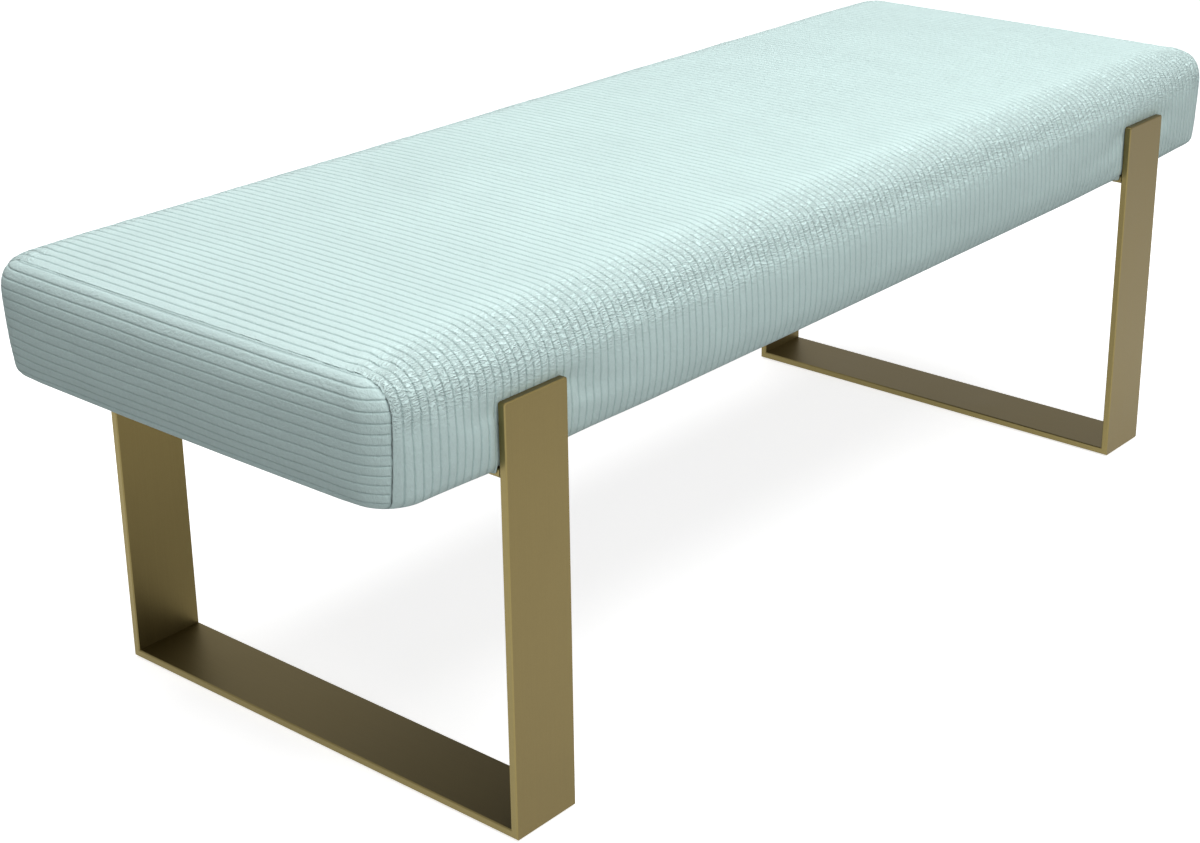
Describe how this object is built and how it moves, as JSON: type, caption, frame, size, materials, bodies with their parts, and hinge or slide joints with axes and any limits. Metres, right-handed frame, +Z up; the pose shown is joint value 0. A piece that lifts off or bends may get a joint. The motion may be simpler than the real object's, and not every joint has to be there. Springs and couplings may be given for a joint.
{
  "type": "upholstered bench",
  "caption": "Long crowned bench cushion in ribbed corduroy that sits between the flat bar uprights of two open metal leg frames.",
  "frame": {"origin": "on the floor, under the middle of the bench", "axes": "+X along the bench towards its right end, +Y from its front towards its back, +Z up"},
  "size_m": [1.3836, 0.52, 0.4643],
  "materials": {
    "satin_gold_metal": "satin antique gold",
    "zinc_steel": "bright zinc plate",
    "felt": "pressed felt",
    "hardwood": "planed, unfinished",
    "plywood": "sanded, unfinished",
    "foam": "upholstery foam",
    "wadding": "polyester wadding",
    "corduroy": "wide wale corduroy, pale grey green",
    "dust_cloth": "non-woven dust cloth"
  },
  "bodies": {
    "root": {"back_rail": "hardwood", "back_side_foam": "foam", "centre_rail": "hardwood", "corner_blocks": "hardwood", "dust_cover": "dust_cloth", "front_rail": "hardwood", "front_side_foam": "foam", "left_back_upright": "satin_gold_metal", "left_bolt_washers": "zinc_steel", "left_bottom_bar": "satin_gold_metal", "left_cross_rail": "hardwood", "left_crossbar": "satin_gold_metal", "left_end_panel": "corduroy", "left_end_rail": "hardwood", "left_floor_pads": "felt", "left_front_upright": "satin_gold_metal", "left_seat_bolts": "zinc_steel", "left_side_foam": "foam", "left_threaded_inserts": "zinc_steel", "main_cover_panel": "corduroy", "right_back_upright": "satin_gold_metal", "right_bolt_washers": "zinc_steel", "right_bottom_bar": "satin_gold_metal", "right_cross_rail": "hardwood", "right_crossbar": "satin_gold_metal", "right_end_panel": "corduroy", "right_end_rail": "hardwood", "right_floor_pads": "felt", "right_front_upright": "satin_gold_metal", "right_seat_bolts": "zinc_steel", "right_side_foam": "foam", "right_threaded_inserts": "zinc_steel", "seat_deck": "plywood", "seat_foam": "foam", "wadding_wrap": "wadding"}
  },
  "joints": []
}
